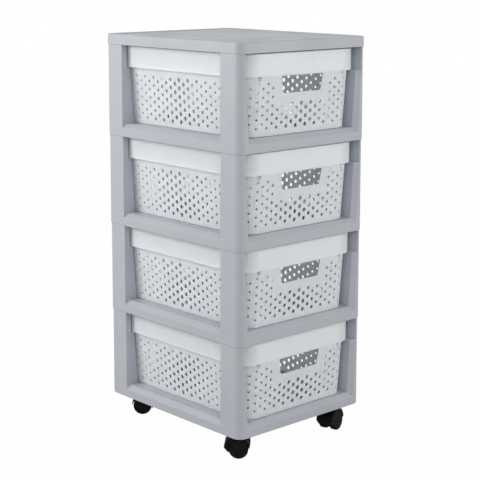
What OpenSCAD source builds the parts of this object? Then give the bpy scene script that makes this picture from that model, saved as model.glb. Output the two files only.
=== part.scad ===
// Drawer tower on casters: four stacked level frames of one moulding each, four hanging
// perforated drawers, a top cover and four swivelling twin-wheel casters.
// Millimetres. +Z is up, the floor is z = 0, the drawers' fronts face -Y.

/* [Tower] */
// Width of the tower at the foot of each level
tower_w = 300; // [280:1:330]
// Depth of the tower at the foot of each level
tower_d = 360; // [330:1:390]
// Height of one level, seam to seam
level_h = 162.5; // [156:0.5:175]
// Radius of the upright corners
corner_r = 16; // [14:1:24]
// How far each face of a level leans in between its foot and its top
level_lean = 1.2; // [0.4:0.1:1.6]
// Wall of the level frames and of the cover
frame_wall = 2.5; // [2:0.1:3]

/* [Level frame] */
// Height of the upright face of the sill, all round
sill_face_h = 15; // [12:0.5:17]
// How far the sill's bevel reaches inward
bevel_in = 8.5; // [6:0.5:10]
// Height of the shelf on top of the sill
shelf_h = 23.4; // [22:0.1:26]
// Width of a post, measured along the tower's side
post_d = 49; // [42:1:56]
// Thickness of a post beside the drawer's rim
post_rim_t = 13; // [11:0.5:14]
// Gap between the drawer and the frame at the drawer's foot
foot_gap = 2; // [1.5:0.5:4]
// Gap between the drawer's body and the frame at the ledge
ledge_gap = 2.5; // [1.5:0.5:4]
// Thickness of the stop behind the drawer's rim
stop_t = 4; // [2:0.5:4.5]
// Height of the spigots that locate the next level
spigot_h = 8; // [5:0.5:12]
// Length of a spigot along the tower's side
spigot_l = 26; // [16:1:30]
// Play of the spigots in the piece above
spigot_gap = 0.4; // [0.2:0.1:0.8]
// Thickness of the ribs under the shelf
rib_t = 2; // [1.5:0.1:3]
// Height of the ribs under the shelf
rib_h = 12; // [6:0.5:16]
// Distance of the cross ribs from the middle of the shelf
rib_y = 60; // [40:5:100]

/* [Cover] */
// Height of the cover
cover_h = 18.5; // [16:0.5:26]
// Radius of the cover's upper edge
cover_edge_r = 3; // [1.5:0.5:4]
// Width of the raised border round the cover's top
border_w = 11; // [8:0.5:16]
// Depth of the tray inside the border
tray_depth = 1.4; // [0.8:0.1:2]

/* [Drawer] */
// Width over the drawer's rim
rim_w = 270; // [256:1:273]
// Length over the drawer's rim
rim_l = 348; // [320:1:348]
// Height of the plain band round the rim
rim_band_h = 37; // [28:0.1:40]
// Plan radius of the rim's corners
rim_corner_r = 31; // [26:1:34]
// How far the rim stands out from the body at the sides, where the drawer hangs
rim_side_out = 7.5; // [6.5:0.1:9]
// How far the rim stands out from the body at the front and the back
rim_end_out = 1; // [0.6:0.1:1.4]
// How far each wall of the body leans in between the rim and the floor
drawer_lean = 6.3; // [4:0.1:8]
// Plan radius of the body's corners under the rim
body_corner_r = 35; // [26:1:36]
// Wall of the drawer
drawer_wall = 1.8; // [1.6:0.1:2.2]
// Gap between the drawer's rim and the ledge that it hangs on
hang_gap = 0.3; // [0.2:0.05:0.5]
// Gap between the drawer's floor and the shelf
floor_gap = 0.5; // [0.4:0.1:1]
// Gap between the drawer's top and the piece above
top_gap = 2; // [1:0.5:4]
// How far the rim's front stands back from the front of the tower
front_recess = 7; // [6:0.5:12]

/* [Drawer handle] */
// Width of the handle opening at its top
handle_w = 97; // [80:1:110]
// Height of the handle opening
handle_h = 28.5; // [22:0.5:32]
// Distance of the handle opening below the rim
handle_drop = 1.5; // [0:0.5:4]
// How much narrower each side of the handle opening is at its bottom
handle_lean = 3.4; // [0:0.2:6]
// Radius of the handle opening's lower corners
handle_r = 4.5; // [3:0.5:7]
// Radius of the handle opening's upper corners
handle_top_r = 1.5; // [1:0.25:3]

/* [Perforations] */
// Distance from one column of holes to the next, on the sides
side_hole_pitch = 11.6; // [10.5:0.1:12]
// Distance from one column of holes to the next, on the ends
end_hole_pitch = 11.2; // [10.5:0.1:11.4]
// Distance from one hole to the next in a column
hole_step = 14.6; // [13:0.1:16]
// Number of holes in a long column; the columns between them have one less
hole_rows = 6; // [4:1:6]
// Number of columns on each side of the middle one, on the sides
side_columns = 11; // [6:1:11]
// Number of columns on each side of the middle one, on the ends
end_columns = 10; // [6:1:10]
// Plain margin round the handle opening
handle_margin = 16; // [8:0.5:18]
// Diameter of the holes in the middle column
hole_d = 7.6; // [5:0.1:8]
// Diameter of the holes in the outermost columns
hole_d_end = 3.4; // [2:0.1:4]
// Height of the lowest hole above the drawer's floor, on the sides
side_hole_foot = 11.7; // [9:0.1:16]
// Height of the lowest hole above the drawer's floor, on the ends
end_hole_foot = 13.9; // [9:0.1:18]

/* [Casters] */
// Height of a caster, from the floor to the underside of the tower
caster_h = 44; // [43.5:0.5:56]
// Distance of the caster stems from the tower's sides
stem_in_x = 40; // [36:1:50]
// Distance of the caster stems from the tower's front and back
stem_in_y = 27; // [27:1:50]
// Horizontal distance between a stem and its wheels' axle
trail = 12; // [10:0.5:14]
// Diameter of a wheel
wheel_d = 34; // [32:0.5:34]
// Width of one wheel
wheel_w = 14; // [12.5:0.5:15]
// Width of a wheel's tread, between its rounded edges and its domed face
tread_w = 11; // [8:0.5:11.5]
// Diameter at which the dome of a wheel's face turns flatter
dome_d = 20; // [16:0.5:22]
// Diameter of the flat in the middle of a wheel's face
cap_d = 11; // [8:0.5:14]
// Height of the flatter part of the dome
cap_h = 1.6; // [0.8:0.1:2]
// Thickness of the hood's web between the wheels
web_t = 4; // [3:0.5:6]
// Wall of the web round the axle
axle_wall = 2.5; // [2:0.1:3.5]
// Radius of the hood's round outline, seen from its side
hood_r = 22.4; // [22:0.1:22.8]
// Distance of that outline's middle from the axle, away from the stem
hood_ahead = 3; // [1:0.1:4]
// Height of that outline's middle above the axle
hood_rise = 2.5; // [2:0.1:3]
// Height above the axle at which the hood ends at the stem's side
hood_foot = 2.6; // [1:0.1:5]
// Distance of the nose's slanting underside from the axle
nose_in = 16.8; // [16.5:0.1:17.5]
// Slope of that underside, in degrees
nose_slant = 49; // [44:1:54]
// Plastic left between the stem and the room for the wheels
stem_floor = 2; // [1.5:0.1:3]
// Wall of the hood's boss round the stem
hood_boss_wall = 4.4; // [3:0.2:5]
// Diameter of the stem
stem_d = 8; // [7:0.5:9]
// Length of the stem above the tower's underside
stem_up = 17; // [12:0.5:18]
// Chamfer at the stem's upper end
stem_chamfer = 1; // [0.5:0.1:1.5]
// Diameter of the axle
axle_d = 5; // [4:0.5:6]
// How far the axle reaches into each wheel
axle_in = 9; // [7:0.5:10]
// Running clearance of a shaft in its bore, on the radius
run_gap = 0.05; // [0.03:0.01:0.08]
// Side clearance between a wheel and the hood
side_gap = 0.4; // [0.3:0.1:0.8]
// Gap between the wheels' treads and the fender
tread_gap = 1; // [0.8:0.1:2]
// Diameter of the flange of the stem's socket
flange_d = 20; // [18:0.5:24]
// Thickness of that flange
flange_t = 1.5; // [1:0.1:2]
// Wall of the stem's socket
socket_wall = 1.5; // [1.2:0.1:2]
// Clearance of the pressed-in socket in the frame, on the radius
socket_gap = 0.01; // [0.01:0.01:0.05]
// Direction in which the front left caster trails, in degrees from +X
turn_front_left = 134; // [0:1:359]
// Direction in which the front right caster trails
turn_front_right = 196; // [0:1:359]
// Direction in which the rear left caster trails
turn_rear_left = 317; // [0:1:359]
// Direction in which the rear right caster trails
turn_rear_right = 215; // [0:1:359]

/* [Hidden] */
$fn = 64;

frame_color = [0.69, 0.71, 0.75];
drawer_color = [0.90, 0.91, 0.93];
caster_color = [0.06, 0.06, 0.06];
steel_color = [0.70, 0.71, 0.73];

// how far a cutting tool runs past the face that it cuts
past = 1;
// thickness of the thin layers that a slanting cut is drawn between
layer_t = 0.1;

// heights inside a level, measured from its own foot
drawer_foot = shelf_h + floor_gap;
drawer_top = level_h - top_gap;
rim_foot = drawer_top - rim_band_h;
ledge_h = rim_foot - hang_gap;
shelf_foot = shelf_h - frame_wall;

// half widths of the drawer's body and of the way that the frame leaves for it
body_half_rim = rim_w / 2 - rim_side_out;
body_half_foot = body_half_rim - drawer_lean;
way_half_ledge = body_half_rim + ledge_gap;
way_half_foot = body_half_foot + foot_gap;
way_half_rim = tower_w / 2 - post_rim_t;

// the drawer's middle, front to back
drawer_y = -tower_d / 2 + front_recess + rim_l / 2;
window_half = tower_d / 2 - post_d;

// levels, counted from the bottom
level_z = [for (n = [0:3]) caster_h + n * level_h];
cover_z = caster_h + 4 * level_h;

// casters
stem_x = tower_w / 2 - stem_in_x;
stem_y = tower_d / 2 - stem_in_y;
wheel_r = wheel_d / 2;
wheel_side = web_t / 2 + side_gap;
fender_r = wheel_r + tread_gap;
hood_half = wheel_side + wheel_w;
socket_r = stem_d / 2 + run_gap + socket_wall;
boss_r = socket_r + frame_wall;
hood_top = caster_h - flange_t - side_gap;
stem_room = trail - stem_d / 2;
stem_foot = wheel_r + sqrt(fender_r * fender_r - stem_room * stem_room) + stem_floor;

// A block with round upright corners whose faces all lean in by `lean` towards the top.
module leaning_block(w, d, r, h, lean) {
    span_x = w - 2 * r;
    span_y = d - 2 * r;
    rotate([90, 0, 0])
        linear_extrude(span_y, center = true)
            polygon([[-w / 2, 0], [w / 2, 0], [w / 2 - lean, h], [-w / 2 + lean, h]]);
    rotate([90, 0, 90])
        linear_extrude(span_x, center = true)
            polygon([[-d / 2, 0], [d / 2, 0], [d / 2 - lean, h], [-d / 2 + lean, h]]);
    for (x = [-1, 1], y = [-1, 1])
        translate([x * span_x / 2, y * span_y / 2, 0])
            cylinder(h = h, r1 = r, r2 = r - lean);
}

// A block with square corners, from one size at its foot to another at its top.
module tapering_block(w_foot, d_foot, w_top, d_top, h) {
    intersection() {
        rotate([90, 0, 0])
            linear_extrude(max(d_foot, d_top), center = true)
                polygon([[-w_foot / 2, 0], [w_foot / 2, 0], [w_top / 2, h], [-w_top / 2, h]]);
        rotate([90, 0, 90])
            linear_extrude(max(w_foot, w_top), center = true)
                polygon([[-d_foot / 2, 0], [d_foot / 2, 0], [d_top / 2, h], [-d_top / 2, h]]);
    }
}

// ---- level frame ----

// The way through a level that the drawer's body takes, widened over the ledges for its rim.
module drawer_way() {
    rotate([90, 0, 0])
        linear_extrude(tower_d + 2 * past, center = true)
            polygon([
                [-way_half_foot, shelf_h], [way_half_foot, shelf_h],
                [way_half_ledge, ledge_h], [way_half_ledge, level_h + past],
                [-way_half_ledge, level_h + past], [-way_half_ledge, ledge_h]
            ]);
    rim_way_l = tower_d - stop_t + past;
    translate([-way_half_rim, -tower_d / 2 - past, ledge_h])
        cube([2 * way_half_rim, rim_way_l, level_h - ledge_h + past]);
}

// The picture-frame bevel round the mouth at the front; the back has the same one.
module mouth_bevel() {
    bevel_depth = shelf_h - sill_face_h;
    outer_foot = way_half_foot + bevel_in;
    outer_ledge = way_half_ledge + bevel_in;
    hull() {
        translate([0, -tower_d / 2 - layer_t, 0])
            rotate([90, 0, 0])
                linear_extrude(past)
                    polygon([
                        [-outer_foot, sill_face_h], [outer_foot, sill_face_h],
                        [outer_ledge, ledge_h], [-outer_ledge, ledge_h]
                    ]);
        translate([0, -tower_d / 2 + bevel_depth, 0])
            rotate([90, 0, 0])
                linear_extrude(layer_t)
                    polygon([
                        [-way_half_foot, shelf_h], [way_half_foot, shelf_h],
                        [way_half_ledge, ledge_h], [-way_half_ledge, ledge_h]
                    ]);
    }
}

// The openings in both sides, over the bevelled sill.
module side_windows() {
    rotate([90, 0, 0])
        linear_extrude(2 * window_half, center = true)
            for (x = [-1, 1])
                scale([x, 1])
                    polygon([
                        [0, shelf_h], [tower_w / 2 - bevel_in, shelf_h],
                        [tower_w / 2, sill_face_h], [tower_w / 2 + past, sill_face_h],
                        [tower_w / 2 + past, level_h + past], [0, level_h + past]
                    ]);
}

// The hollow under the shelf, open below.
module shelf_hollow() {
    inner_w = tower_w - 2 * frame_wall;
    inner_d = tower_d - 2 * frame_wall;
    skirt_h = sill_face_h - frame_wall / 2;
    translate([0, 0, -past])
        leaning_block(inner_w, inner_d, corner_r - frame_wall, skirt_h + past, 0);
    translate([0, 0, skirt_h])
        tapering_block(
            inner_w - corner_r, inner_d - corner_r,
            inner_w - corner_r - 2 * bevel_in, inner_d - corner_r - 2 * bevel_in,
            shelf_foot - skirt_h
        );
}

// The hollow inside each post, open below into the hollow under the shelf.
module post_hollows() {
    hollow_top = ledge_h - frame_wall;
    inner_foot = way_half_foot + frame_wall;
    inner_top = way_half_ledge + frame_wall;
    intersection() {
        leaning_block(
            tower_w - 2 * frame_wall, tower_d - 2 * frame_wall,
            corner_r - frame_wall, level_h, level_lean
        );
        for (x = [-1, 1], y = [-1, 1])
            scale([x, y, 1])
                translate([0, tower_d / 2 - bevel_in - 2 * frame_wall, 0])
                    rotate([90, 0, 0])
                        linear_extrude(post_d - bevel_in - 3 * frame_wall)
                            polygon([
                                [inner_foot, sill_face_h - frame_wall], [inner_top, hollow_top],
                                [tower_w / 2, hollow_top], [tower_w / 2, sill_face_h - frame_wall]
                            ]);
    }
}

// Ribs and stem bosses under the shelf.
module shelf_underside() {
    inner_w = tower_w - 2 * frame_wall;
    inner_d = tower_d - 2 * frame_wall;
    for (y = [-rib_y, rib_y])
        translate([-inner_w / 2 - frame_wall / 2, y - rib_t / 2, shelf_foot - rib_h])
            cube([inner_w + frame_wall, rib_t, rib_h + frame_wall / 2]);
    translate([-rib_t / 2, -inner_d / 2 - frame_wall / 2, shelf_foot - rib_h])
        cube([rib_t, inner_d + frame_wall, rib_h + frame_wall / 2]);
    for (x = [-1, 1], y = [-1, 1])
        translate([x * stem_x, y * stem_y, 0])
            cylinder(h = shelf_foot + frame_wall / 2, r = boss_r);
}

// Tongues on the posts that stand inside the skirt of the piece above.
module spigots() {
    spigot_out = tower_w / 2 - frame_wall - spigot_gap;
    spigot_in = way_half_rim + spigot_gap;
    for (x = [-1, 1], y = [-1, 1])
        scale([x, y, 1])
            translate([spigot_in, window_half + frame_wall, ledge_h])
                cube([spigot_out - spigot_in, spigot_l, level_h - ledge_h + spigot_h]);
}

module level_frame(z) {
    color(frame_color)
        translate([0, 0, z]) {
            difference() {
                union() {
                    difference() {
                        leaning_block(tower_w, tower_d, corner_r, level_h, level_lean);
                        shelf_hollow();
                    }
                    shelf_underside();
                }
                drawer_way();
                mouth_bevel();
                mirror([0, 1, 0])
                    mouth_bevel();
                side_windows();
                post_hollows();
                for (x = [-1, 1], y = [-1, 1])
                    translate([x * stem_x, y * stem_y, -past])
                        cylinder(h = stem_up + 2 * past, r = socket_r);
            }
            spigots();
        }
}

// ---- cover ----

// A plate with round upright corners and a rounded upper edge.
module soft_plate(w, d, r, h, edge_r) {
    module section(width) {
        translate([-width / 2, 0])
            square([width, h - edge_r]);
        translate([-width / 2 + edge_r, 0])
            square([width - 2 * edge_r, h]);
        for (side = [-1, 1])
            translate([side * (width / 2 - edge_r), h - edge_r])
                circle(r = edge_r);
    }
    rotate([90, 0, 0])
        linear_extrude(d - 2 * r, center = true)
            section(w);
    rotate([90, 0, 90])
        linear_extrude(w - 2 * r, center = true)
            section(d);
    for (x = [-1, 1], y = [-1, 1])
        translate([x * (w / 2 - r), y * (d / 2 - r), 0])
            rotate_extrude()
                intersection() {
                    section(2 * r);
                    square([r, h]);
                }
}

module top_cover() {
    inner_w = tower_w - 2 * frame_wall;
    inner_d = tower_d - 2 * frame_wall;
    panel_foot = cover_h - tray_depth - frame_wall;
    color(frame_color)
        translate([0, 0, cover_z])
            difference() {
                soft_plate(tower_w, tower_d, corner_r, cover_h, cover_edge_r);
                translate([0, 0, -past])
                    leaning_block(inner_w, inner_d, corner_r - frame_wall, panel_foot + past, 0);
                translate([0, 0, cover_h - tray_depth])
                    leaning_block(
                        tower_w - 2 * border_w, tower_d - 2 * border_w,
                        corner_r - border_w / 2, tray_depth + past, 0
                    );
            }
}

// ---- drawer ----

// The opening in an end wall under the rim, through which a hand pulls the drawer.
module handle_opening() {
    top = rim_foot - handle_drop - handle_top_r;
    foot = rim_foot - handle_drop - handle_h + handle_r;
    deep = body_corner_r;
    rotate([90, 0, 0])
        hull()
            for (x = [-1, 1]) {
                translate([x * (handle_w / 2 - handle_top_r), top, 0])
                    cylinder(h = deep, r = handle_top_r, $fn = 24);
                translate([x * (handle_w / 2 - handle_lean - handle_r), foot, 0])
                    cylinder(h = deep, r = handle_r, $fn = 32);
            }
}

// The body's outside (inset = 0) or inside (inset = wall), from its foot upward.
module drawer_body(inset) {
    body_w = 2 * body_half_rim - 2 * inset;
    body_l = rim_l - 2 * rim_end_out - 2 * inset;
    mirror([0, 0, 1])
        translate([0, 0, -rim_foot])
            leaning_block(
                body_w, body_l, body_corner_r - inset,
                rim_foot - drawer_foot - inset, drawer_lean * (1 - inset / (rim_foot - drawer_foot))
            );
    translate([0, 0, rim_foot])
        leaning_block(body_w, body_l, body_corner_r - inset, rim_band_h + inset, 0);
}

// Staggered columns of round holes that grow smaller away from the middle column.
// Columns whose number has the parity `long_parity` are the long ones.
module hole_field(columns, pitch, long_parity, foot, handle) {
    clear_half = handle_w / 2;
    clear_foot = rim_foot - handle_drop - handle_h;
    for (k = [-columns:columns]) {
        long = abs(k) % 2 == long_parity;
        rows = long ? hole_rows : hole_rows - 1;
        start = drawer_foot + foot + (long ? 0 : hole_step / 2);
        d = hole_d + (hole_d_end - hole_d) * abs(k) / columns;
        for (n = [0:rows - 1]) {
            x = k * pitch;
            z = start + n * hole_step;
            off = norm([max(abs(x) - clear_half, 0), max(clear_foot - z, 0)]);
            if (!handle || off > handle_margin)
                translate([x, z])
                    circle(d = d);
        }
    }
}

// The holes in both sides and both ends.
module perforations() {
    bite = drawer_lean + 2 * drawer_wall;
    for (x = [-1, 1])
        scale([x, 1, 1])
            translate([body_half_rim + past - bite, 0, 0])
                rotate([90, 0, 90])
                    linear_extrude(bite)
                        hole_field(side_columns, side_hole_pitch, 0, side_hole_foot, false);
    for (y = [-1, 1])
        scale([1, y, 1])
            translate([0, rim_l / 2 - body_corner_r, 0])
                rotate([90, 0, 180])
                    linear_extrude(body_corner_r)
                        hole_field(end_columns, end_hole_pitch, 1, end_hole_foot, true);
}

module drawer(z) {
    color(drawer_color)
        translate([0, drawer_y, z])
            difference() {
                union() {
                    drawer_body(0);
                    translate([0, 0, rim_foot])
                        difference() {
                            leaning_block(rim_w, rim_l, rim_corner_r, rim_band_h, 0);
                            translate([0, 0, -past])
                                leaning_block(
                                    rim_w - 2 * drawer_wall, rim_l - 2 * drawer_wall,
                                    rim_corner_r - drawer_wall, rim_band_h - drawer_wall + past, 0
                                );
                        }
                }
                drawer_body(drawer_wall);
                for (y = [-1, 1])
                    scale([1, y, 1])
                        translate([0, -rim_l / 2 + body_corner_r - past, 0])
                            handle_opening();
                perforations();
            }
}

// ---- casters ----
// Each is drawn with its stem on the Z axis and its wheels trailing towards +X.

module at_caster(x, y, turn) {
    translate([x * stem_x, y * stem_y, 0])
        rotate([0, 0, turn])
            children();
}

module stem_socket() {
    color(caster_color)
        translate([0, 0, caster_h - flange_t])
            difference() {
                union() {
                    cylinder(h = flange_t, d = flange_d);
                    cylinder(h = flange_t + stem_up, r = socket_r - socket_gap);
                }
                translate([0, 0, -past])
                    cylinder(h = flange_t + stem_up + 2 * past, r = stem_d / 2 + run_gap);
            }
}

module stem() {
    stem_top = caster_h + stem_up - flange_t;
    color(steel_color) {
        translate([0, 0, stem_foot])
            cylinder(h = stem_top - stem_foot - stem_chamfer, d = stem_d);
        translate([0, 0, stem_top - stem_chamfer])
            cylinder(h = stem_chamfer, d1 = stem_d, d2 = stem_d - 2 * stem_chamfer);
    }
}

// The hood: a round cap over both wheels, with a solid nose at the trailing side, a web
// between the wheels that carries the axle, and a boss for the stem.
module hood() {
    slant_l = 2 * hood_r;
    color(caster_color)
        difference() {
            union() {
                translate([trail, 0, wheel_r])
                    rotate([90, 0, 0]) {
                        intersection() {
                            translate([hood_ahead, hood_rise, 0])
                                cylinder(h = 2 * hood_half, r = hood_r, center = true);
                            linear_extrude(2 * hood_half + past, center = true)
                                intersection() {
                                    rotate(nose_slant)
                                        translate([-slant_l, -nose_in])
                                            square([2 * slant_l, 2 * slant_l]);
                                    polygon([
                                        [-slant_l, hood_foot], [0, hood_foot],
                                        [nose_in, -nose_in], [slant_l, -nose_in],
                                        [slant_l, slant_l], [-slant_l, slant_l]
                                    ]);
                                }
                        }
                        cylinder(h = web_t, r = axle_d / 2 + axle_wall, center = true);
                    }
                translate([0, 0, stem_foot - stem_floor])
                    cylinder(h = hood_top - stem_foot + stem_floor, r = stem_d / 2 + hood_boss_wall);
            }
            translate([0, 0, stem_foot])
                cylinder(h = hood_top, d = stem_d);
            translate([trail, 0, wheel_r])
                rotate([90, 0, 0])
                    cylinder(h = web_t + past, d = axle_d, center = true);
            // room for the wheels
            for (y = [-1, 1])
                scale([1, y, 1])
                    translate([trail, web_t / 2, wheel_r])
                        rotate([-90, 0, 0])
                            cylinder(h = wheel_w + side_gap + past, r = fender_r);
        }
}

module axle() {
    color(steel_color)
        translate([trail, 0, wheel_r])
            rotate([90, 0, 0])
                cylinder(h = 2 * (wheel_side + axle_in), d = axle_d, center = true);
}

// A wheel with a rounded tread and a domed outer face, over a blind bore for the axle.
module wheel(side) {
    tread_r = tread_w / 2;
    color(caster_color)
        scale([1, side, 1])
            translate([trail, wheel_side, wheel_r])
                rotate([-90, 0, 0])
                    difference() {
                        rotate_extrude()
                            union() {
                                square([wheel_r - tread_r, tread_w]);
                                translate([wheel_r - tread_r, tread_r])
                                    circle(r = tread_r);
                                polygon([
                                    [0, tread_w], [wheel_r - tread_r, tread_w],
                                    [dome_d / 2, wheel_w - cap_h],
                                    [cap_d / 2, wheel_w], [0, wheel_w]
                                ]);
                            }
                        translate([0, 0, -past])
                            cylinder(h = axle_in + side_gap + past, d = axle_d + 2 * run_gap);
                    }
}

top_cover();
level_frame(level_z[0]);  // level_1
level_frame(level_z[1]);  // level_2
level_frame(level_z[2]);  // level_3
level_frame(level_z[3]);  // level_4
drawer(level_z[0]);  // drawer_1
drawer(level_z[1]);  // drawer_2
drawer(level_z[2]);  // drawer_3
drawer(level_z[3]);  // drawer_4
at_caster(-1, -1, turn_front_left) stem_socket();  // socket_fl
at_caster(1, -1, turn_front_right) stem_socket();  // socket_fr
at_caster(-1, 1, turn_rear_left) stem_socket();  // socket_rl
at_caster(1, 1, turn_rear_right) stem_socket();  // socket_rr
at_caster(-1, -1, turn_front_left) stem();  // stem_fl
at_caster(1, -1, turn_front_right) stem();  // stem_fr
at_caster(-1, 1, turn_rear_left) stem();  // stem_rl
at_caster(1, 1, turn_rear_right) stem();  // stem_rr
at_caster(-1, -1, turn_front_left) hood();  // hood_fl
at_caster(1, -1, turn_front_right) hood();  // hood_fr
at_caster(-1, 1, turn_rear_left) hood();  // hood_rl
at_caster(1, 1, turn_rear_right) hood();  // hood_rr
at_caster(-1, -1, turn_front_left) axle();  // axle_fl
at_caster(1, -1, turn_front_right) axle();  // axle_fr
at_caster(-1, 1, turn_rear_left) axle();  // axle_rl
at_caster(1, 1, turn_rear_right) axle();  // axle_rr
at_caster(-1, -1, turn_front_left) wheel(1);  // wheel_a_fl
at_caster(1, -1, turn_front_right) wheel(1);  // wheel_a_fr
at_caster(-1, 1, turn_rear_left) wheel(1);  // wheel_a_rl
at_caster(1, 1, turn_rear_right) wheel(1);  // wheel_a_rr
at_caster(-1, -1, turn_front_left) wheel(-1);  // wheel_b_fl
at_caster(1, -1, turn_front_right) wheel(-1);  // wheel_b_fr
at_caster(-1, 1, turn_rear_left) wheel(-1);  // wheel_b_rl
at_caster(1, 1, turn_rear_right) wheel(-1);  // wheel_b_rr
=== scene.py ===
"""Looks of a drawer tower: four stacked level frames, four perforated drawers and a cover.

The tower stands on four swivelling twin-wheel casters. Lengths are in metres, +Z is up, the
floor is z = 0 and the drawers' fronts face -Y.
"""

import logging
import math
from collections.abc import Callable
from dataclasses import dataclass, field
from enum import Enum

import bmesh
import bpy
from mathutils import Matrix, Vector

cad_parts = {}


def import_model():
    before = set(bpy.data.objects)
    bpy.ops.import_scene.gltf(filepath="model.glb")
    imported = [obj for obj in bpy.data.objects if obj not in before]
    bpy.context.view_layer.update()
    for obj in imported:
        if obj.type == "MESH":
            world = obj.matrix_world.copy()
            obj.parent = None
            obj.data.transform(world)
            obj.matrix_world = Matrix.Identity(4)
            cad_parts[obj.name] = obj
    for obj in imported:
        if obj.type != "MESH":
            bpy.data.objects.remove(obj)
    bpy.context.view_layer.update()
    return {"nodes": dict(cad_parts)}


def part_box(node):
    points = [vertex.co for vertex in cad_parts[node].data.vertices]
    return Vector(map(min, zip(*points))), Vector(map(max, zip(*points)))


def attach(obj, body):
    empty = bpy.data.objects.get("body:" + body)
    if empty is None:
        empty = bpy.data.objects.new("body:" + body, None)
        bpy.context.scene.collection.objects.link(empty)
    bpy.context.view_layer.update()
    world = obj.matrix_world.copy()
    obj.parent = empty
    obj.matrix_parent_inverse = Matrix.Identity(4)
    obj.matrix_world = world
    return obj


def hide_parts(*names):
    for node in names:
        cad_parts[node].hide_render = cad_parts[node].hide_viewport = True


log = logging.getLogger("drawer_tower")

MM = 0.001
HAIR = 0.1 * MM
LEVEL_COUNT = 4


class Slot(Enum):
    """The record's material slots, by the part that wears them."""

    FRAME = "frame"
    DRAWER = "drawer"
    CASTER = "caster"
    TREAD = "tread"
    STEEL = "steel"


class Corner(Enum):
    """The tower's four corners, each with a caster."""

    FRONT_LEFT = "fl"
    FRONT_RIGHT = "fr"
    REAR_LEFT = "rl"
    REAR_RIGHT = "rr"

    @property
    def across(self) -> int:
        """Says whether the corner is on the right, as 1, or on the left, as -1."""
        return 1 if self.value[1] == "r" else -1

    @property
    def along(self) -> int:
        """Says whether the corner is at the rear, as 1, or at the front, as -1."""
        return 1 if self.value[0] == "r" else -1


TRAIL_TURNS = {
    Corner.FRONT_LEFT: 134.0,
    Corner.FRONT_RIGHT: 196.0,
    Corner.REAR_LEFT: 317.0,
    Corner.REAR_RIGHT: 215.0,
}


# ---- finishes ----


def linear(code: str) -> tuple[float, float, float, float]:
    """Turns a colour of six hex digits into the linear values that a shader takes.

    Args:
        code: The colour as written on screen, such as "c0c4cb".

    Returns:
        Red, green and blue from 0 to 1, and an alpha of 1.
    """
    steps = [int(code[n : n + 2], 16) / 255 for n in (0, 2, 4)]
    values = [v / 12.92 if v <= 0.04045 else ((v + 0.055) / 1.055) ** 2.4 for v in steps]
    return (*values, 1.0)


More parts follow.
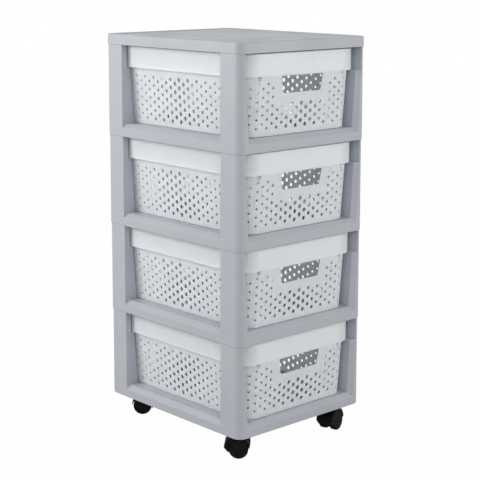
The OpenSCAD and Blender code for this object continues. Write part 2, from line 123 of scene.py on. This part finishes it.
class NodeSheet:
    """A material under construction: it adds nodes and joins them up."""

    def __init__(self, name: str) -> None:
        """Starts an empty material.

        Args:
            name: The material's name.
        """
        self.material = bpy.data.materials.new(name)
        self.material.use_nodes = True
        self.tree = self.material.node_tree
        self.tree.nodes.clear()

    def add(self, kind: str, inputs: dict | None = None, **settings: object) -> bpy.types.Node:
        """Adds one node.

        Args:
            kind: The node's type.
            inputs: What each input socket is joined to, or the value set on it.
            settings: The node's own options.

        Returns:
            The new node.
        """
        made = self.tree.nodes.new(kind)
        for option, choice in settings.items():
            setattr(made, option, choice)
        for socket, value in (inputs or {}).items():
            if isinstance(value, bpy.types.NodeSocket):
                self.tree.links.new(value, made.inputs[socket])
            else:
                made.inputs[socket].default_value = value
        return made

    def noise(self, place: bpy.types.NodeSocket, size: float, detail: float = 2.0,
              rough: float = 0.5) -> bpy.types.NodeSocket:
        """Adds soft noise whose spots are about the given size across.

        Args:
            place: The coordinates that it reads.
            size: How large one spot is, in metres.
            detail: How many finer layers it has.
            rough: How strong the finer layers are.

        Returns:
            The socket with the noise, from 0 to 1.
        """
        made = self.add("ShaderNodeTexNoise", {
            "Vector": place, "Scale": 1 / size, "Detail": detail, "Roughness": rough,
        })
        return made.outputs["Fac"]

    def ramp(self, value: bpy.types.NodeSocket, low: float, high: float, at_low: float,
             at_high: float) -> bpy.types.NodeSocket:
        """Maps a range of values smoothly onto another.

        Args:
            value: The socket that is read.
            low: The value at which the range starts.
            high: The value at which it ends.
            at_low: What comes out at the start.
            at_high: What comes out at the end.

        Returns:
            The socket with the mapped value.
        """
        made = self.add("ShaderNodeMapRange", {
            "Value": value, "From Min": low, "From Max": high, "To Min": at_low, "To Max": at_high,
        }, interpolation_type="SMOOTHSTEP")
        return made.outputs["Result"]

    def math(self, operation: str, first: object, second: object = 0.0) -> bpy.types.NodeSocket:
        """Adds a sum, product or other simple step.

        Args:
            operation: The operation's name.
            first: The first socket or number.
            second: The second socket or number.

        Returns:
            The socket with the answer.
        """
        made = self.add("ShaderNodeMath", {0: first, 1: second}, operation=operation)
        return made.outputs["Value"]

    def mix(self, share: object, first: object, second: object) -> bpy.types.NodeSocket:
        """Mixes two colours.

        Args:
            share: How much of the second colour shows.
            first: The first colour or socket.
            second: The second colour or socket.

        Returns:
            The socket with the mixed colour.
        """
        made = self.add("ShaderNodeMix", {"Factor": share}, data_type="RGBA")
        colours = [s for s in made.inputs if s.type == "RGBA"]
        for socket, value in zip(colours, (first, second)):
            if isinstance(value, bpy.types.NodeSocket):
                self.tree.links.new(value, socket)
            else:
                socket.default_value = value
        return next(s for s in made.outputs if s.type == "RGBA")

    def bump(self, height: bpy.types.NodeSocket, depth: float, strength: float,
             under: bpy.types.NodeSocket | None = None) -> bpy.types.NodeSocket:
        """Adds a bumpy surface.

        Args:
            height: The socket with the height, from 0 to 1.
            depth: The height in metres that 1 stands for.
            strength: How much of it shows, from 0 to 1.
            under: The normal that it lies on.

        Returns:
            The socket with the new normal.
        """
        inputs = {"Height": height, "Distance": depth, "Strength": strength}
        if under is not None:
            inputs["Normal"] = under
        return self.add("ShaderNodeBump", inputs).outputs["Normal"]

    def edges(self, reach: float) -> bpy.types.NodeSocket:
        """Finds the outer edges and corners of a piece.

        Args:
            reach: How far from the edge the mask reaches, in metres.

        Returns:
            The socket with the mask, 1 on an edge and 0 away from it.
        """
        rounded = self.add("ShaderNodeBevel", {"Radius": reach}, samples=4)
        plain = self.add("ShaderNodeNewGeometry")
        agree = self.add("ShaderNodeVectorMath", {
            0: rounded.outputs["Normal"], 1: plain.outputs["Normal"],
        }, operation="DOT_PRODUCT")
        on_edge, off_edge = 0.9, 0.995
        return self.ramp(agree.outputs["Value"], on_edge, off_edge, 1.0, 0.0)

    def finish(self, shader: bpy.types.NodeSocket) -> bpy.types.Material:
        """Joins the last shader to the output.

        Args:
            shader: The socket with the shader.

        Returns:
            The finished material.
        """
        self.add("ShaderNodeOutputMaterial", {"Surface": shader})
        return self.material


@dataclass(frozen=True)
class MouldedPlastic:
    """Injection-moulded plastic with a fine spark-eroded grain.

    Attributes:
        name: The material's name.
        colour: The plastic's colour.
        shade: The colour of its darker, less evenly coloured spots.
        edge_highlight_and_wear: The lighter colour of its rubbed edges, partly wear and partly a
            painted highlight along the edges.
        roughness: How matt it is.
        grain: How wide one bump of the grain is.
        depth: How high the grain stands.
        gloss_change: How much the roughness changes from place to place.
        cloud: How wide its faintly darker areas are.
        streak: How wide its flow streaks are.
        edge_reach: How far the lighter rubbed edges, partly a painted highlight, reach.
        edge_share: How strongly the lighter rubbed edges, partly a painted highlight, show.
        glow_through: How much light passes below its surface.
        depth_through: How deep that light travels.
        shine: How strongly it mirrors, from 0 to 1.
        speck: How wide its small darker specks are.
        wave: How wide the slow waves of its surface are.
        wave_depth: How high those waves stand.
        flow: How much the flow streaks are squeezed along Z, which draws them out.
        polish: How much smoother the rubbed edges with their painted highlight are.
        ior: Its index of refraction.
    """

    name: str
    colour: str
    shade: str
    edge_highlight_and_wear: str
    roughness: float
    grain: float = 0.55 * MM
    depth: float = 0.035 * MM
    gloss_change: float = 0.06
    cloud: float = 70 * MM
    streak: float = 6 * MM
    edge_reach: float = 1.2 * MM
    edge_share: float = 0.5
    glow_through: float = 0.0
    depth_through: float = 4 * MM
    shine: float = 0.5
    speck: float = 1.1 * MM
    wave: float = 28 * MM
    wave_depth: float = 0.12 * MM
    flow: float = 0.12
    polish: float = 0.12
    ior: float = 1.49

    def material(self) -> bpy.types.Material:
        """Makes the material."""
        sheet = NodeSheet(self.name)
        place = sheet.add("ShaderNodeTexCoord").outputs["Object"]
        clouds = sheet.noise(place, self.cloud, 3.0)
        stretched = sheet.add("ShaderNodeMapping", {
            "Vector": place, "Scale": (1.0, 1.0, self.flow),
        }).outputs["Vector"]
        streaks = sheet.noise(stretched, self.streak, 4.0, 0.6)
        uneven = sheet.math("MULTIPLY", sheet.ramp(clouds, 0.35, 0.75, 0.0, 1.0),
                            sheet.ramp(streaks, 0.3, 0.7, 0.3, 1.0))
        colour = sheet.mix(uneven, linear(self.colour), linear(self.shade))
        specks = sheet.ramp(sheet.noise(place, self.speck, 1.0), 0.66, 0.74, 0.0, 0.5)
        colour = sheet.mix(specks, colour, linear(self.shade))
        # The rubbed edges are painted a lighter colour, which is partly wear and partly a painted
        # highlight along the edges.
        highlit_rubbed_edges = sheet.math("MULTIPLY", sheet.edges(self.edge_reach),
                            sheet.ramp(streaks, 0.35, 0.6, self.edge_share * 0.4, self.edge_share))
        colour = sheet.mix(highlit_rubbed_edges, colour, linear(self.edge_highlight_and_wear))
        change = sheet.ramp(clouds, 0.3, 0.7, -self.gloss_change, self.gloss_change)
        matt = sheet.math("ADD", change, self.roughness)
        matt = sheet.math("SUBTRACT", matt, sheet.math("MULTIPLY", highlit_rubbed_edges, self.polish))
        grain = sheet.noise(place, self.grain, 2.0, 0.6)
        coarse = sheet.noise(place, self.grain * 4, 1.0)
        height = sheet.math("ADD", sheet.math("MULTIPLY", grain, 0.7),
                            sheet.math("MULTIPLY", coarse, 0.3))
        normal = sheet.bump(height, self.depth, 0.5)
        normal = sheet.bump(sheet.noise(place, self.wave, 1.0), self.wave_depth, 0.35, normal)
        shader = sheet.add("ShaderNodeBsdfPrincipled", {
            "Base Color": colour, "Roughness": matt, "Normal": normal, "IOR": self.ior,
            "Subsurface Weight": self.glow_through, "Subsurface Scale": self.depth_through,
            "Subsurface Radius": (1.0, 1.0, 1.0), "Specular IOR Level": self.shine,
        })
        return sheet.finish(shader.outputs["BSDF"])


@dataclass(frozen=True)
class TurnedSteel:
    """Zinc-plated steel turned on a lathe.

    Attributes:
        name: The material's name.
        colour: The metal's colour.
        stain: The colour of its dull spots.
        groove: How wide one turning mark is.
        groove_depth: How deep it is.
        spot: How wide a dull spot is.
        squeeze: How much the marks are squeezed across, which draws them round the axis.
    """

    name: str
    colour: str = "b9bcc2"
    stain: str = "86888c"
    groove: float = 0.25 * MM
    groove_depth: float = 0.02 * MM
    spot: float = 2.5 * MM
    squeeze: float = 0.08

    def material(self) -> bpy.types.Material:
        """Makes the material."""
        sheet = NodeSheet(self.name)
        place = sheet.add("ShaderNodeTexCoord").outputs["Object"]
        rings = sheet.add("ShaderNodeMapping", {
            "Vector": place, "Scale": (self.squeeze, self.squeeze, 1.0),
        }).outputs["Vector"]
        turned = sheet.noise(rings, self.groove, 2.0)
        spots = sheet.noise(place, self.spot, 4.0, 0.65)
        colour = sheet.mix(sheet.ramp(spots, 0.5, 0.7, 0.0, 0.6),
                           linear(self.colour), linear(self.stain))
        matt = sheet.ramp(spots, 0.35, 0.7, 0.26, 0.44)
        normal = sheet.bump(turned, self.groove_depth, 0.5)
        shader = sheet.add("ShaderNodeBsdfPrincipled", {
            "Base Color": colour, "Metallic": 1.0, "Roughness": matt, "Normal": normal,
        })
        return sheet.finish(shader.outputs["BSDF"])


@dataclass(frozen=True)
class StudioFloor:
    """Pale paper that shows white to the camera and still takes the tower's shadow.

    Attributes:
        name: The material's name.
        colour: The paper's colour.
        fibre_colour: The colour of its fibres.
        fibre: How wide a fibre's cloud is.
        glow: How much of what the camera sees is plain white.
    """

    name: str
    colour: str = "d8d8d8"
    fibre_colour: str = "d4d4d4"
    fibre: float = 3 * MM
    glow: float = 0.985

    def material(self) -> bpy.types.Material:
        """Makes the material."""
        sheet = NodeSheet(self.name)
        place = sheet.add("ShaderNodeTexCoord").outputs["Object"]
        fibres = sheet.ramp(sheet.noise(place, self.fibre, 3.0), 0.3, 0.7, 0.0, 1.0)
        colour = sheet.mix(fibres, linear(self.colour), linear(self.fibre_colour))
        paper = sheet.add("ShaderNodeBsdfPrincipled", {"Base Color": colour, "Roughness": 0.9})
        white = sheet.add("ShaderNodeEmission", {"Color": (1, 1, 1, 1), "Strength": 1.0})
        rays = sheet.add("ShaderNodeLightPath")
        seen = sheet.math("MULTIPLY", rays.outputs["Is Camera Ray"], self.glow)
        shown = sheet.add("ShaderNodeMixShader", {
            "Fac": seen, 1: paper.outputs["BSDF"], 2: white.outputs["Emission"],
        })
        return sheet.finish(shown.outputs["Shader"])


@dataclass
class Finishes:
    """Every finish of the tower, made once and shared by the pieces that wear it.

    Attributes:
        frame: The grey of the level frames and the cover.
        drawer: The white of the drawers.
        caster: The black of the hoods and sockets.
        tread: The black of the wheels.
        steel: The metal of the stems and axles.
        made: The materials that are already made, by slot.
    """

    # The fourth colour of each plastic is its lighter edge colour, which is partly wear and partly
    # a painted highlight.
    frame: MouldedPlastic = MouldedPlastic(
        "cool_grey_plastic", "b1b4ba", "abafb5", "c1c4c9", 0.44, depth=0.03 * MM)
    drawer: MouldedPlastic = MouldedPlastic(
        "white_plastic", "e9f1ff", "e4ecfa", "f2f7ff", 0.4, grain=0.4 * MM, depth=0.018 * MM,
        glow_through=1.0, depth_through=7 * MM)
    caster: MouldedPlastic = MouldedPlastic(
        "black_nylon", "070708", "0b0b0c", "18181a", 0.5, grain=0.35 * MM, cloud=14 * MM,
        streak=3 * MM, edge_reach=0.8 * MM, shine=0.15)
    tread: MouldedPlastic = MouldedPlastic(
        "black_tread", "070708", "0c0c0d", "161618", 0.55, grain=0.5 * MM, depth=0.05 * MM,
        cloud=9 * MM, streak=2 * MM, edge_reach=0.8 * MM, shine=0.15)
    steel: TurnedSteel = TurnedSteel("plated_steel")
    made: dict[Slot, bpy.types.Material] = field(default_factory=dict)

    def material(self, slot: Slot) -> bpy.types.Material:
        """Gives the material of a slot, made when it is first asked for.

        Args:
            slot: The slot.

        Returns:
            Its material.
        """
        if slot not in self.made:
            self.made[slot] = getattr(self, slot.value).material()
        return self.made[slot]

    def dress(self, piece: bpy.types.Object, slot: Slot) -> None:
        """Puts a finish on every material slot of a piece.

        Args:
            piece: The piece.
            slot: The finish that it wears.
        """
        if not piece.data.materials:
            piece.data.materials.append(None)
        for place in piece.material_slots:
            place.material = self.material(slot)


# ---- modelling steps ----


def pick_only(piece: bpy.types.Object) -> None:
    """Deselects everything and makes one piece the active one.

    Args:
        piece: The piece that the next operator acts on.
    """
    bpy.ops.object.select_all(action="DESELECT")
    piece.select_set(True)
    bpy.context.view_layer.objects.active = piece


def own_copy(node: bpy.types.Object, name: str, join_within: float = 0.001 * MM,
             flat_within: float = 0.6) -> bpy.types.Object:
    """Copies a CAD node into a new piece with its own, joined-up mesh.

    Args:
        node: The CAD node.
        name: The new piece's name.
        join_within: The distance up to which two corners become one.
        flat_within: The angle in degrees up to which neighbouring faces become one.

    Returns:
        The new piece, at the origin.
    """
    piece = bpy.data.objects.new(name, node.data.copy())
    piece.data.name = name
    bpy.context.scene.collection.objects.link(piece)
    pick_only(piece)
    bpy.ops.object.mode_set(mode="EDIT")
    bpy.ops.mesh.select_all(action="SELECT")
    bpy.ops.mesh.remove_doubles(threshold=join_within)
    bpy.ops.mesh.dissolve_limited(angle_limit=math.radians(flat_within))
    bpy.ops.mesh.select_all(action="DESELECT")
    bpy.ops.object.mode_set(mode="OBJECT")
    return piece


def round_edges(piece: bpy.types.Object, radius: float, segments: int = 2,
                sharper_than: float = 30.0, longer_than: float = 0.0,
                chosen: Callable[[Vector, Vector], bool] | None = None) -> None:
    """Rounds a piece's sharp edges, as a mould's small radii do.

    Args:
        piece: The piece.
        radius: The radius.
        segments: How many faces the rounding has.
        sharper_than: The angle between two faces from which their edge counts as sharp.
        longer_than: The length up to which an edge is left sharp, so that no rounding folds over.
        chosen: Says of an edge's two ends whether it is rounded; all sharp ones are otherwise.
    """
    pick_only(piece)
    bpy.ops.object.mode_set(mode="EDIT")
    bpy.ops.mesh.select_mode(type="EDGE")
    bpy.ops.mesh.select_all(action="DESELECT")
    sheet = bmesh.from_edit_mesh(piece.data)
    for edge in sheet.edges:
        if (len(edge.link_faces) == 2 and edge.calc_length() > longer_than
                and edge.calc_face_angle() > math.radians(sharper_than)):
            edge.select = chosen is None or chosen(edge.verts[0].co, edge.verts[1].co)
    bmesh.update_edit_mesh(piece.data)
    bpy.ops.mesh.bevel(offset=radius, segments=segments, profile=0.5, clamp_overlap=False)
    bpy.ops.mesh.select_all(action="DESELECT")
    bpy.ops.object.mode_set(mode="OBJECT")


def smooth(piece: bpy.types.Object, angle: float = 40.0) -> None:
    """Shades a piece smooth up to an angle and keeps its large faces flat.

    Args:
        piece: The piece.
        angle: The angle from which an edge stays sharp.
    """
    pick_only(piece)
    bpy.ops.object.shade_smooth_by_angle(angle=math.radians(angle))
    even = piece.modifiers.new("even_faces", "WEIGHTED_NORMAL")
    even.keep_sharp = True
    even.weight = 100
    bpy.ops.object.modifier_apply(modifier=even.name)


def faces_of(piece: bpy.types.Object) -> int:
    """Counts a piece's triangles."""
    piece.data.calc_loop_triangles()
    return len(piece.data.loop_triangles)


# ---- the tower's parts ----


@dataclass
class Workshop:
    """What every part is built from: the CAD nodes and the finishes.

    Attributes:
        nodes: The CAD nodes by name.
        finishes: The finishes.
    """

    nodes: dict[str, bpy.types.Object]
    finishes: Finishes = field(default_factory=Finishes)

    def hand_over(self, piece: bpy.types.Object, body: str, slot: Slot, *nodes: str) -> None:
        """Puts a finished piece in place of its CAD nodes.

        Args:
            piece: The piece.
            body: The body that it moves with.
            slot: The record's slot whose finish it wears.
            nodes: The CAD nodes that it stands for.
        """
        self.finishes.dress(piece, slot)
        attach(piece, body)
        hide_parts(*nodes)
        log.info("%s: %d triangles, rides %s", piece.name, faces_of(piece), body)

    def keep(self, node: str, slot: Slot) -> None:
        """Keeps a CAD node's shape and gives it its finish.

        Args:
            node: The CAD node.
            slot: The finish.
        """
        self.finishes.dress(self.nodes[node], slot)
        log.info("%s: CAD shape, %s", node, slot.value)


@dataclass
class StackingLevel:
    """One level frame of the tower.

    Attributes:
        number: The level, counted from the bottom.
        edge_r: The radius of its moulded edges.
        seam_r: The radius of the outer edges that meet the next level, which leaves a dark seam.
        corner_r: The radius of the frame's upright corners.
        hollow_h: The height of the hollow under the shelf, whose edges stay sharp.
        skin: How far inside the outline a place still counts as being on the outer wall.
        short: How many radii long an edge is at most where it stays sharp.
    """

    number: int
    edge_r: float = 0.6 * MM
    seam_r: float = 1.3 * MM
    corner_r: float = 16 * MM
    hollow_h: float = 22 * MM
    skin: float = 2 * MM
    short: float = 2.5

    def depth_in(self, place: Vector, half_w: float, half_d: float) -> float:
        """Works out how far a place lies inside the frame's outline as seen from above.

        Args:
            place: The place.
            half_w: Half of the frame's width.
            half_d: Half of its depth.

        Returns:
            The distance, which is 0 on the outline.
        """
        across = abs(place.x) - half_w + self.corner_r
        along = abs(place.y) - half_d + self.corner_r
        if across > 0 and along > 0:
            return self.corner_r - math.hypot(across, along)
        return self.corner_r - max(across, along)

    def build(self, shop: Workshop) -> None:
        """Builds the level and hands it over.

        Args:
            shop: The CAD nodes and the finishes.
        """
        node = f"level_{self.number}"
        piece = own_copy(shop.nodes[node], f"level_frame_{self.number}")
        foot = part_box(node)[0].z
        half_w, half_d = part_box(node)[1].x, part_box(node)[1].y

        def on_seam(one: Vector, other: Vector) -> bool:
            """Picks the outer edge of the foot."""
            outside = all(self.depth_in(v, half_w, half_d) < 2 * HAIR for v in (one, other))
            return outside and max(one.z, other.z) < foot + HAIR

        def elsewhere(one: Vector, other: Vector) -> bool:
            """Picks what lies above the seam's rounding and outside the hollow."""
            hollow = all(self.depth_in(v, half_w, half_d) > self.skin for v in (one, other))
            lowest = self.hollow_h if hollow else self.seam_r + HAIR
            return max(one.z, other.z) > foot + lowest

        round_edges(piece, self.seam_r, chosen=on_seam)
        round_edges(piece, self.edge_r, longer_than=self.short * self.edge_r, chosen=elsewhere)
        smooth(piece)
        shop.hand_over(piece, "tower", Slot.FRAME, node)


@dataclass
class Cover:
    """The cover on the top level.

    Attributes:
        edge_r: The radius of its edges.
    """

    edge_r: float = 0.6 * MM

    def build(self, shop: Workshop) -> None:
        """Builds the cover and hands it over.

        Args:
            shop: The CAD nodes and the finishes.
        """
        piece = own_copy(shop.nodes["top_cover"], "cover")
        round_edges(piece, self.edge_r)
        smooth(piece)
        shop.hand_over(piece, "tower", Slot.FRAME, "top_cover")


@dataclass
class Drawer:
    """One perforated drawer.

    Attributes:
        number: The drawer, counted from the bottom.
        edge_r: The radius of its rim's edges.
    """

    number: int
    edge_r: float = 0.5 * MM

    def build(self, shop: Workshop) -> None:
        """Builds the drawer and hands it over.

        Args:
            shop: The CAD nodes and the finishes.
        """
        node = f"drawer_{self.number}"
        piece = own_copy(shop.nodes[node], f"perforated_drawer_{self.number}")
        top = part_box(node)[1].z

        def on_rim(one: Vector, other: Vector) -> bool:
            """Picks the edges round the top of the rim."""
            return min(one.z, other.z) > top - HAIR / 2

        round_edges(piece, self.edge_r, chosen=on_rim)
        smooth(piece)
        shop.hand_over(piece, f"drawer_{self.number}", Slot.DRAWER, node)


@dataclass
class CasterWheel:
    """One wheel of a caster: a tread that is round towards the other wheel, and a dished face.

    Attributes:
        radius: The wheel's radius.
        width: Its width.
        inner_r: The radius of its edge towards the other wheel.
        outer_r: The radius of its outer edge.
        flange: How wide the flat ring inside the outer edge is.
        dish: How deep the face lies inside that ring.
        hub_r: The radius of the hub in the middle of the face.
        hub_h: How far the hub stands out of the face.
        bore_r: The radius of the axle's blind bore.
        bore_l: The depth of that bore.
        sides: How many sides the wheel's circle has.
        inner_steps: How many faces the rounding towards the other wheel has.
        outer_steps: How many faces the outer rounding has.
    """

    radius: float = 17 * MM
    width: float = 14 * MM
    inner_r: float = 5.5 * MM
    outer_r: float = 2.2 * MM
    flange: float = 1.2 * MM
    dish: float = 0.5 * MM
    hub_r: float = 5.0 * MM
    hub_h: float = 0.4 * MM
    bore_r: float = 2.55 * MM
    bore_l: float = 9.4 * MM
    sides: int = 112
    inner_steps: int = 9
    outer_steps: int = 5

    def pick_rim(self, sheet: bmesh.types.BMesh, height: float) -> None:
        """Selects the sharp edge round the wheel at one height.

        Args:
            sheet: The wheel's mesh in edit mode.
            height: The height of the edge.
        """
        for edge in sheet.edges:
            edge.select = all(abs(v.co.z - height) < HAIR / 10 for v in edge.verts)

    def pick_face(self, sheet: bmesh.types.BMesh, up: int) -> float:
        """Selects the large flat face that looks up or down.

        Args:
            sheet: The wheel's mesh in edit mode.
            up: 1 for the face that looks up and -1 for the other.

        Returns:
            The radius of that face.
        """
        flat = [f for f in sheet.faces if f.normal.z * up > 0.999 and len(f.verts) == self.sides]
        chosen = min(flat, key=lambda f: f.calc_area())
        for each in sheet.faces:
            each.select = each is chosen
        return max(v.co.xy.length for v in chosen.verts)

    def model(self, name: str) -> bpy.types.Object:
        """Models the wheel round the Z axis, with its outer face up.

        Args:
            name: The piece's name.

        Returns:
            The wheel.
        """
        bpy.ops.mesh.primitive_cylinder_add(
            vertices=self.sides, radius=self.radius, depth=self.width, location=(0, 0, 0))
        piece = bpy.context.object
        piece.name = piece.data.name = name
        pick_only(piece)
        bpy.ops.object.mode_set(mode="EDIT")
        for height, radius, steps in ((-self.width / 2, self.inner_r, self.inner_steps),
                                      (self.width / 2, self.outer_r, self.outer_steps)):
            bpy.ops.mesh.select_mode(type="EDGE")
            bpy.ops.mesh.select_all(action="DESELECT")
            sheet = bmesh.from_edit_mesh(piece.data)
            self.pick_rim(sheet, height)
            bmesh.update_edit_mesh(piece.data)
            bpy.ops.mesh.bevel(offset=radius, segments=steps, profile=0.5)
        bpy.ops.mesh.select_mode(type="FACE")
        for up, ring, depth in ((1, self.flange, 0.0), (1, self.dish, -self.dish), (1, None, 0.0),
                                (1, self.hub_h, self.hub_h), (-1, None, 0.0)):
            bpy.ops.mesh.select_all(action="DESELECT")
            sheet = bmesh.from_edit_mesh(piece.data)
            wide = self.pick_face(sheet, up)
            bmesh.update_edit_mesh(piece.data)
            if ring is None:
                ring = wide - (self.hub_r if up > 0 else self.bore_r)
            bpy.ops.mesh.inset(thickness=ring, depth=depth)
        bpy.ops.mesh.extrude_region_move(TRANSFORM_OT_translate={"value": (0, 0, self.bore_l)})
        bpy.ops.mesh.select_all(action="SELECT")
        bpy.ops.mesh.normals_make_consistent(inside=False)
        bpy.ops.mesh.select_all(action="DESELECT")
        bpy.ops.object.mode_set(mode="OBJECT")
        return piece


@dataclass
class Caster:
    """One swivelling caster with two wheels.

    Attributes:
        corner: The corner that it stands under.
        turn: The direction in which it trails, in degrees from +X.
        wheel: The sizes of its wheels.
        stem_at: The distance of its stem from the tower's middle, along X and Y.
        trail: The horizontal distance between its stem and its axle.
        wheel_in: The distance of a wheel's inner face from the middle of the hood.
        hood_edge_r: The radius of the hood's edges.
        hood_sharp: The angle in degrees from which one of the hood's edges is rounded.
        hood_short: How many radii long an edge is at most where it stays sharp.
        wheel_sharp: The angle in degrees from which one of a wheel's edges stays sharp.
    """

    corner: Corner
    turn: float
    wheel: CasterWheel = field(default_factory=CasterWheel)
    stem_at: tuple[float, float] = (110 * MM, 153 * MM)
    trail: float = 12 * MM
    wheel_in: float = 2.4 * MM
    hood_edge_r: float = 0.25 * MM
    hood_sharp: float = 40.0
    hood_short: float = 2.5
    wheel_sharp: float = 30.0

    def place(self, side: int) -> Matrix:
        """Works out where a wheel stands.

        Args:
            side: 1 for the wheel on the left of the trailing direction and -1 for the other.

        Returns:
            The move from the wheel's own place to its place under the tower.
        """
        stem_x = self.stem_at[0] * self.corner.across
        stem_y = self.stem_at[1] * self.corner.along
        middle = side * (self.wheel_in + self.wheel.width / 2)
        return (Matrix.Translation((stem_x, stem_y, self.wheel.radius))
                @ Matrix.Rotation(math.radians(self.turn), 4, "Z")
                @ Matrix.Translation((self.trail, middle, 0))
                @ Matrix.Rotation(math.radians(-90 * side), 4, "X"))

    def build(self, shop: Workshop) -> None:
        """Builds the caster's pieces and hands them over.

        Args:
            shop: The CAD nodes and the finishes.
        """
        mark = self.corner.value
        hood = own_copy(shop.nodes[f"hood_{mark}"], f"caster_hood_{mark}")
        round_edges(hood, self.hood_edge_r, sharper_than=self.hood_sharp,
                    longer_than=self.hood_short * self.hood_edge_r)
        smooth(hood)
        shop.hand_over(hood, f"caster_{mark}", Slot.CASTER, f"hood_{mark}")
        shop.keep(f"socket_{mark}", Slot.CASTER)
        shop.keep(f"stem_{mark}", Slot.STEEL)
        shop.keep(f"axle_{mark}", Slot.STEEL)
        for letter, side in (("a", 1), ("b", -1)):
            wheel = self.wheel.model(f"caster_wheel_{letter}_{mark}")
            wheel.data.transform(self.place(side))
            smooth(wheel, self.wheel_sharp)
            node = f"wheel_{letter}_{mark}"
            shop.hand_over(wheel, node, Slot.TREAD, node)


# ---- the studio ----


@dataclass(frozen=True)
class SoftLamp:
    """A square studio lamp behind a diffuser.

    Attributes:
        name: The lamp's name.
        place: Where it stands.
        aim: The point that it faces.
        width: How wide it is.
        watts: Its power.
    """

    name: str
    place: tuple[float, float, float]
    aim: tuple[float, float, float]
    width: float
    watts: float

    def hang(self) -> None:
        """Adds the lamp to the scene."""
        lamp = bpy.data.lights.new(self.name, "AREA")
        lamp.shape = "SQUARE"
        lamp.size = self.width
        lamp.energy = self.watts
        holder = bpy.data.objects.new(self.name, lamp)
        bpy.context.scene.collection.objects.link(holder)
        holder.location = self.place
        line = Vector(self.aim) - Vector(self.place)
        holder.rotation_mode = "QUATERNION"
        holder.rotation_quaternion = line.to_track_quat("-Z", "Y")


@dataclass
class Studio:
    """The floor, the lamps, the white surround and the camera.

    Attributes:
        camera_at: Where the camera stands.
        yaw: Its direction, in degrees from +Y towards +X.
        pitch: How far it looks up, in degrees.
        roll: How far it leans, in degrees.
        lens: Its focal length in millimetres.
        surround: How strongly the surround lights the tower.
        floor_w: How wide the floor is.
        lamps: The soft lamps.
        sensor: The width of the camera's sensor in millimetres.
    """

    camera_at: tuple[float, float, float] = (-1.5551, -1.7177, 0.8410)
    yaw: float = 42.43
    pitch: float = -12.141
    roll: float = 0.121
    lens: float = 97.71
    surround: float = 0.46
    floor_w: float = 12.0
    lamps: tuple[SoftLamp, ...] = (
        SoftLamp("key_lamp", (-1.35, 0.75, 1.0), (0.0, 0.0, 0.66), 0.7, 15.0),
        SoftLamp("near_lamp", (-0.9, -2.1, 1.2), (0.0, 0.0, 0.55), 1.2, 10.0),
        SoftLamp("fill_lamp", (1.1, -2.1, 0.9), (0.0, 0.0, 0.4), 1.0, 14.0),
    )
    sensor: float = 36.0

    def lay_floor(self) -> None:
        """Lays a wide pale floor."""
        bpy.ops.mesh.primitive_plane_add(size=self.floor_w, location=(0, 0, 0))
        floor = bpy.context.object
        floor.name = "studio_floor"
        floor.data.materials.append(StudioFloor("studio_paper").material())

    def light(self) -> None:
        """Hangs the lamps and makes the surround white for the camera."""
        for lamp in self.lamps:
            lamp.hang()
        world = bpy.data.worlds.new("studio_surround")
        bpy.context.scene.world = world
        world.use_nodes = True
        tree = world.node_tree
        tree.nodes.clear()
        rays = tree.nodes.new("ShaderNodeLightPath")
        seen = tree.nodes.new("ShaderNodeMath")
        seen.operation = "MAXIMUM"
        strength = tree.nodes.new("ShaderNodeMapRange")
        strength.inputs["To Min"].default_value = self.surround
        strength.inputs["To Max"].default_value = 1.0
        paper = tree.nodes.new("ShaderNodeBackground")
        paper.inputs["Color"].default_value = (1.0, 1.0, 1.0, 1.0)
        out = tree.nodes.new("ShaderNodeOutputWorld")
        tree.links.new(rays.outputs["Is Camera Ray"], seen.inputs[0])
        tree.links.new(rays.outputs["Is Glossy Ray"], seen.inputs[1])
        tree.links.new(seen.outputs["Value"], strength.inputs["Value"])
        tree.links.new(strength.outputs["Result"], paper.inputs["Strength"])
        tree.links.new(paper.outputs["Background"], out.inputs["Surface"])

    def set_camera(self) -> None:
        """Sets the camera up as the photograph's stood."""
        yaw, pitch = math.radians(self.yaw), math.radians(self.pitch)
        ahead = Vector((math.sin(yaw) * math.cos(pitch), math.cos(yaw) * math.cos(pitch),
                        math.sin(pitch)))
        turn = ahead.to_track_quat("-Z", "Y").to_matrix() @ Matrix.Rotation(
            math.radians(self.roll), 3, "Z")
        lens = bpy.data.cameras.new("photo_camera")
        lens.sensor_width = self.sensor
        lens.lens = self.lens
        camera = bpy.data.objects.new("photo_camera", lens)
        bpy.context.scene.collection.objects.link(camera)
        camera.matrix_world = Matrix.Translation(self.camera_at) @ turn.to_4x4()
        bpy.context.scene.camera = camera

    def build(self) -> None:
        """Sets up the whole studio."""
        self.lay_floor()
        self.light()
        self.set_camera()
        bpy.context.scene.view_settings.view_transform = "Standard"


def main() -> None:
    """Dresses every part of the tower and sets up the studio."""
    logging.basicConfig(level=logging.INFO, format="%(name)s: %(message)s")
    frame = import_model()
    shop = Workshop(frame["nodes"])
    for number in range(1, LEVEL_COUNT + 1):
        StackingLevel(number).build(shop)
        Drawer(number).build(shop)
    Cover().build(shop)
    for corner, turn in TRAIL_TURNS.items():
        Caster(corner, turn).build(shop)
    Studio().build()


if __name__ == "__main__":
    main()
